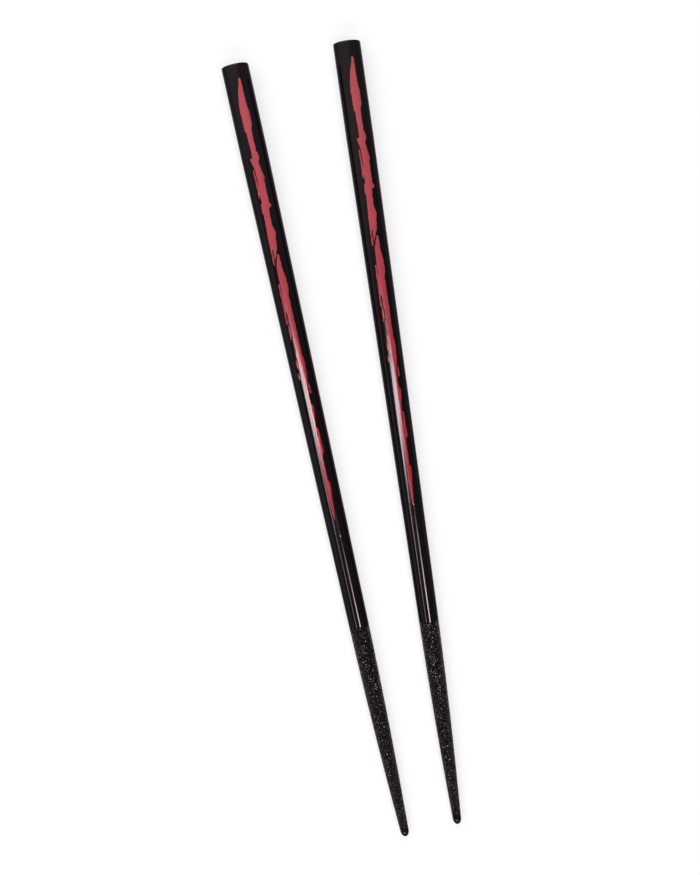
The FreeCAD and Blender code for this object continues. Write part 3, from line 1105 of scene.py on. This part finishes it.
def cut_at_zero(
    points: np.ndarray, shape: tuple[int, int]
) -> tuple[np.ndarray, np.ndarray, np.ndarray]:
    """The part of a grid where its third value is above zero, as triangles.

    Each cell is two triangles. A triangle that the zero line crosses is cut along it, at
    the places on its edges where the value, taken as straight, is zero.

    Args:
        points: One row of two places and a value per grid point.
        shape: The grid's rows and columns.

    Returns:
        The points used, the triangles turned the same way, and the directed border edges.
    """
    rows, columns = shape
    number = np.arange(rows * columns).reshape(rows, columns)
    here, beside = number[:-1, :-1].ravel(), number[:-1, 1:].ravel()
    ahead, diagonal = number[1:, :-1].ravel(), number[1:, 1:].ravel()
    triangles = np.concatenate(
        [np.stack([here, ahead, diagonal], axis=-1), np.stack([here, diagonal, beside], axis=-1)]
    )
    inside = points[:, 2] > 0.0
    count = inside[triangles].sum(axis=1)
    whole = triangles[count == 3]
    one = triangles[count == 1]
    turn = np.argmax(inside[one], axis=1)
    one = np.take_along_axis(one, (turn[:, None] + np.arange(3)) % 3, axis=1)
    two = triangles[count == 2]
    turn = np.argmin(inside[two], axis=1)
    two = np.take_along_axis(two, (turn[:, None] + np.arange(3)) % 3, axis=1)
    total = len(points)
    pairs = np.concatenate([one[:, [0, 1]], one[:, [0, 2]], two[:, [0, 1]], two[:, [0, 2]]])
    pairs = np.sort(pairs, axis=1)
    keys, index = np.unique(pairs[:, 0] * total + pairs[:, 1], return_inverse=True)
    start, end = keys // total, keys % total
    share = points[start, 2] / (points[start, 2] - points[end, 2])
    crossing = points[start] + (points[end] - points[start]) * share[:, None]
    crossing[:, 2] = 0.0
    index = index.ravel() + total
    one_a, one_b = index[: len(one)], index[len(one) : 2 * len(one)]
    two_a, two_b = index[2 * len(one) : 2 * len(one) + len(two)], index[2 * len(one) + len(two) :]
    faces = np.concatenate(
        [
            whole,
            np.stack([one[:, 0], one_a, one_b], axis=-1),
            np.stack([two_a, two[:, 1], two[:, 2]], axis=-1),
            np.stack([two_a, two[:, 2], two_b], axis=-1),
        ]
    )
    border = np.concatenate([np.stack([one_a, one_b], axis=-1), np.stack([two_b, two_a], axis=-1)])
    every = np.concatenate([points, crossing])
    used, compact = np.unique(np.concatenate([faces.ravel(), border.ravel()]), return_inverse=True)
    compact = compact.ravel()
    faces_kept = compact[: faces.size].reshape(-1, 3)
    border_kept = compact[faces.size :].reshape(-1, 2)
    return every[used], faces_kept, border_kept


@dataclass
class Lamp:
    """A flat rectangular lamp over the pair that shines straight down."""

    name: str
    left: float
    right: float
    near: float
    far: float
    height: float
    glow: float
    tint: tuple[float, float, float] = (1.0, 1.0, 1.0)

    def build(self) -> bpy.types.Object:
        """Build the lamp; its power is its glow times its area times pi.

        Returns:
            The lamp, linked to the scene.
        """
        data = bpy.data.lights.new(self.name, "AREA")
        data.shape = "RECTANGLE"
        data.size = self.right - self.left
        data.size_y = self.far - self.near
        data.energy = self.glow * data.size * data.size_y * math.pi
        data.color = self.tint
        lamp = bpy.data.objects.new(self.name, data)
        lamp.location = ((self.left + self.right) / 2.0, (self.near + self.far) / 2.0, self.height)
        lamp.visible_camera = False
        bpy.context.scene.collection.objects.link(lamp)
        return lamp


@dataclass
class Studio:
    """Floor, lamps, surroundings and camera.

    The picture's height is measured in the plane of the sticks' axes. The roll is in
    degrees, and the edges of the soft sides are in parts of the direction's x or y.
    """

    picture_centre: tuple[float, float] = (-2.9 * MM, 2.0 * MM)
    picture_height: float = 249.1 * MM
    roll: float = 10.32
    floor_half: float = 9.0
    diffuse: tuple[float, float, float] = (0.38, 0.43, 0.39)
    glow: tuple[float, float, float] = (0.649, 0.605, 0.640)
    ambient: float = 0.08
    soft_side: float = 0.30
    left_edge: tuple[float, float] = (-0.84, -0.95)
    ahead_edge: tuple[float, float] = (0.05, 0.14)
    right_edge: tuple[float, float] = (0.0, 0.5)
    right_loss: float = 0.65
    sensor: float = 36.0
    axis_height: float = 0.004
    lamps: list[Lamp] = field(
        default_factory=lambda: [
            Lamp("key_end", -0.56, -0.42, -0.058, 0.014, 1.0, 15.0),
            Lamp("key_bend", -0.42, -0.30, -0.046, 0.032, 1.0, 15.0),
            Lamp("key_middle", -0.30, -0.18, -0.030, 0.048, 1.0, 15.0),
            Lamp("key_across", -0.18, 0.16, -0.027, 0.030, 1.0, 16.5),
            Lamp("line_left", -0.72, -0.53, -0.13, -0.060, 1.0, 5.0),
            Lamp("line_left_low", -0.72, -0.53, -0.30, -0.13, 1.0, 2.9),
            Lamp("line_right", 0.13, 0.32, -0.150, -0.112, 1.0, 6.0),
            Lamp("line_right_low", 0.13, 0.32, -0.34, -0.150, 1.0, 16.0),
            Lamp("soft_ahead", -1.2, 0.5, 0.60, 1.50, 1.0, 2.3),
            Lamp("soft_behind", -1.2, 0.5, -1.50, -0.70, 1.0, 2.3),
        ]
    )

    def floor(self) -> bpy.types.Object:
        """A plain pale floor that keeps a faint shadow.

        Its brightness is part light that it scatters, which a shadow takes away, and part
        a plain glow, which the camera, gloss and clear things all see in full.

        Returns:
            The floor's object.
        """
        half = self.floor_half
        corners = [(-half, -half, 0.0), (half, -half, 0.0), (half, half, 0.0), (-half, half, 0.0)]
        mesh = bpy.data.meshes.new("floor")
        mesh.from_pydata(corners, [], [(0, 1, 2, 3)])
        piece = bpy.data.objects.new("floor", mesh)
        bpy.context.scene.collection.objects.link(piece)
        made = bpy.data.materials.new("pale_floor")
        made.use_nodes = True
        graph = Graph(made.node_tree)
        shader = graph.get("ShaderNodeBsdfPrincipled")
        shader.inputs["Base Color"].default_value = (*self.diffuse, 1.0)
        shader.inputs["Roughness"].default_value = 1.0
        shader.inputs["Specular IOR Level"].default_value = 0.0
        shader.inputs["Emission Color"].default_value = (*self.glow, 1.0)
        graph.join(shader.inputs["Emission Strength"], self.seen(graph))
        mesh.materials.append(made)
        return piece

    def seen(self, graph: Graph) -> bpy.types.NodeSocket:
        """One for rays of the camera, of gloss and through clear things, else none.

        Args:
            graph: The floor's nodes.

        Returns:
            The output that holds the one or the none.
        """
        path = graph.add("ShaderNodeLightPath").outputs
        straight = graph.maths("MAXIMUM", path["Is Camera Ray"], path["Is Transmission Ray"])
        return graph.maths("MAXIMUM", straight, path["Is Glossy Ray"])

    def surroundings(self) -> None:
        """A dim studio with two soft sides, the same for the camera and for gloss.

        A little light comes from all round. More comes from low on the left, and from
        ahead of the butt ends, where it falls off towards the right. Each edge is a
        smooth step of the direction's x or y.
        """
        world = bpy.data.worlds.new("studio")
        world.use_nodes = True
        bpy.context.scene.world = world
        graph = Graph(world.node_tree)
        background = graph.get("ShaderNodeBackground")
        background.inputs["Color"].default_value = (1.0, 1.0, 1.0, 1.0)
        direction = graph.add("ShaderNodeTexCoord").outputs["Generated"]
        apart = graph.add("ShaderNodeSeparateXYZ", {"Vector": direction}).outputs
        left = graph.step(apart["X"], *self.left_edge)
        ahead = graph.step(apart["Y"], *self.ahead_edge)
        rightwards = graph.step(apart["X"], *self.right_edge)
        right = graph.maths("MULTIPLY_ADD", rightwards, -self.right_loss, 1.0)
        soft = graph.maths("MAXIMUM", left, graph.maths("MULTIPLY", ahead, right))
        strength = graph.maths("MULTIPLY_ADD", soft, self.soft_side, self.ambient)
        graph.join(background.inputs["Strength"], strength)

    def camera(self) -> bpy.types.Object:
        """A camera straight above the picture's centre, turned as the photograph is.

        Returns:
            The camera, made the scene's own.
        """
        data = bpy.data.cameras.new("camera")
        data.sensor_width = self.sensor
        data.lens = self.sensor * (VIEW_HEIGHT - self.axis_height) / self.picture_height
        data.clip_start, data.clip_end = 0.01, 20.0
        camera = bpy.data.objects.new("camera", data)
        camera.location = (*self.picture_centre, VIEW_HEIGHT)
        camera.rotation_euler = (0.0, 0.0, -math.radians(self.roll))
        bpy.context.scene.collection.objects.link(camera)
        bpy.context.scene.camera = camera
        return camera

    def build(self) -> None:
        """Build everything round the object."""
        self.floor()
        self.surroundings()
        for lamp in self.lamps:
            lamp.build()
        self.camera()
        bpy.context.scene.view_settings.view_transform = "Standard"


def dress(
    piece: bpy.types.Object, materials: list[bpy.types.Material], nodes: list[str]
) -> None:
    """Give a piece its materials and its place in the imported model.

    Args:
        piece: The piece.
        materials: Its materials, in the order that its faces number them.
        nodes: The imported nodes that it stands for.
    """
    indices = np.zeros(len(piece.data.polygons), dtype=np.int32)
    piece.data.polygons.foreach_get("material_index", indices)
    for material in materials:
        piece.data.materials.append(material)
    piece.data.polygons.foreach_set("material_index", indices)
    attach(piece, "root")
    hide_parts(*nodes)
    LOG.info("%s: %d faces", piece.name, len(piece.data.polygons))


def main() -> None:
    """Build the pair, dress it, and set the studio round it."""
    logging.basicConfig(level=logging.INFO, format="%(name)s: %(message)s")
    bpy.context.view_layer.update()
    groups = {"lacquer_skin": lacquer_skin_group(), "dust": dust_group(), "facets": facets_group()}
    coats = [BlackLacquer().material(groups), GritLacquer().material(groups)]
    red = RedLacquer().material(groups)
    sticks = [
        Chopstick(Side.LEFT, 136.9 * MM, -0.35 * MM, 163.4 * MM, 221.0 * MM, 11),
        Chopstick(Side.RIGHT, 132.5 * MM, -0.25 * MM, 166.2 * MM, 220.5 * MM, 23),
    ]
    for stick in sticks:
        dress(stick.build(), coats, [f"chopstick_{stick.side.word}"])
    strokes = [
        BrushStroke(Side.LEFT, UPPER_SHAPE, 0.0, 1.5, 5),
        BrushStroke(Side.LEFT, LOWER_SHAPE, 0.0, 1.5, 7),
        BrushStroke(Side.RIGHT, UPPER_SHAPE, 0.5 * MM, -4.7, 5),
        BrushStroke(Side.RIGHT, LOWER_SHAPE, 0.5 * MM, -4.7, 7),
    ]
    for stroke in strokes:
        node = f"{stroke.shape.part.value}_stroke_{stroke.side.word}"
        dress(stroke.build(), [red], [node])
    Studio().build()


if __name__ == "__main__":
    main()
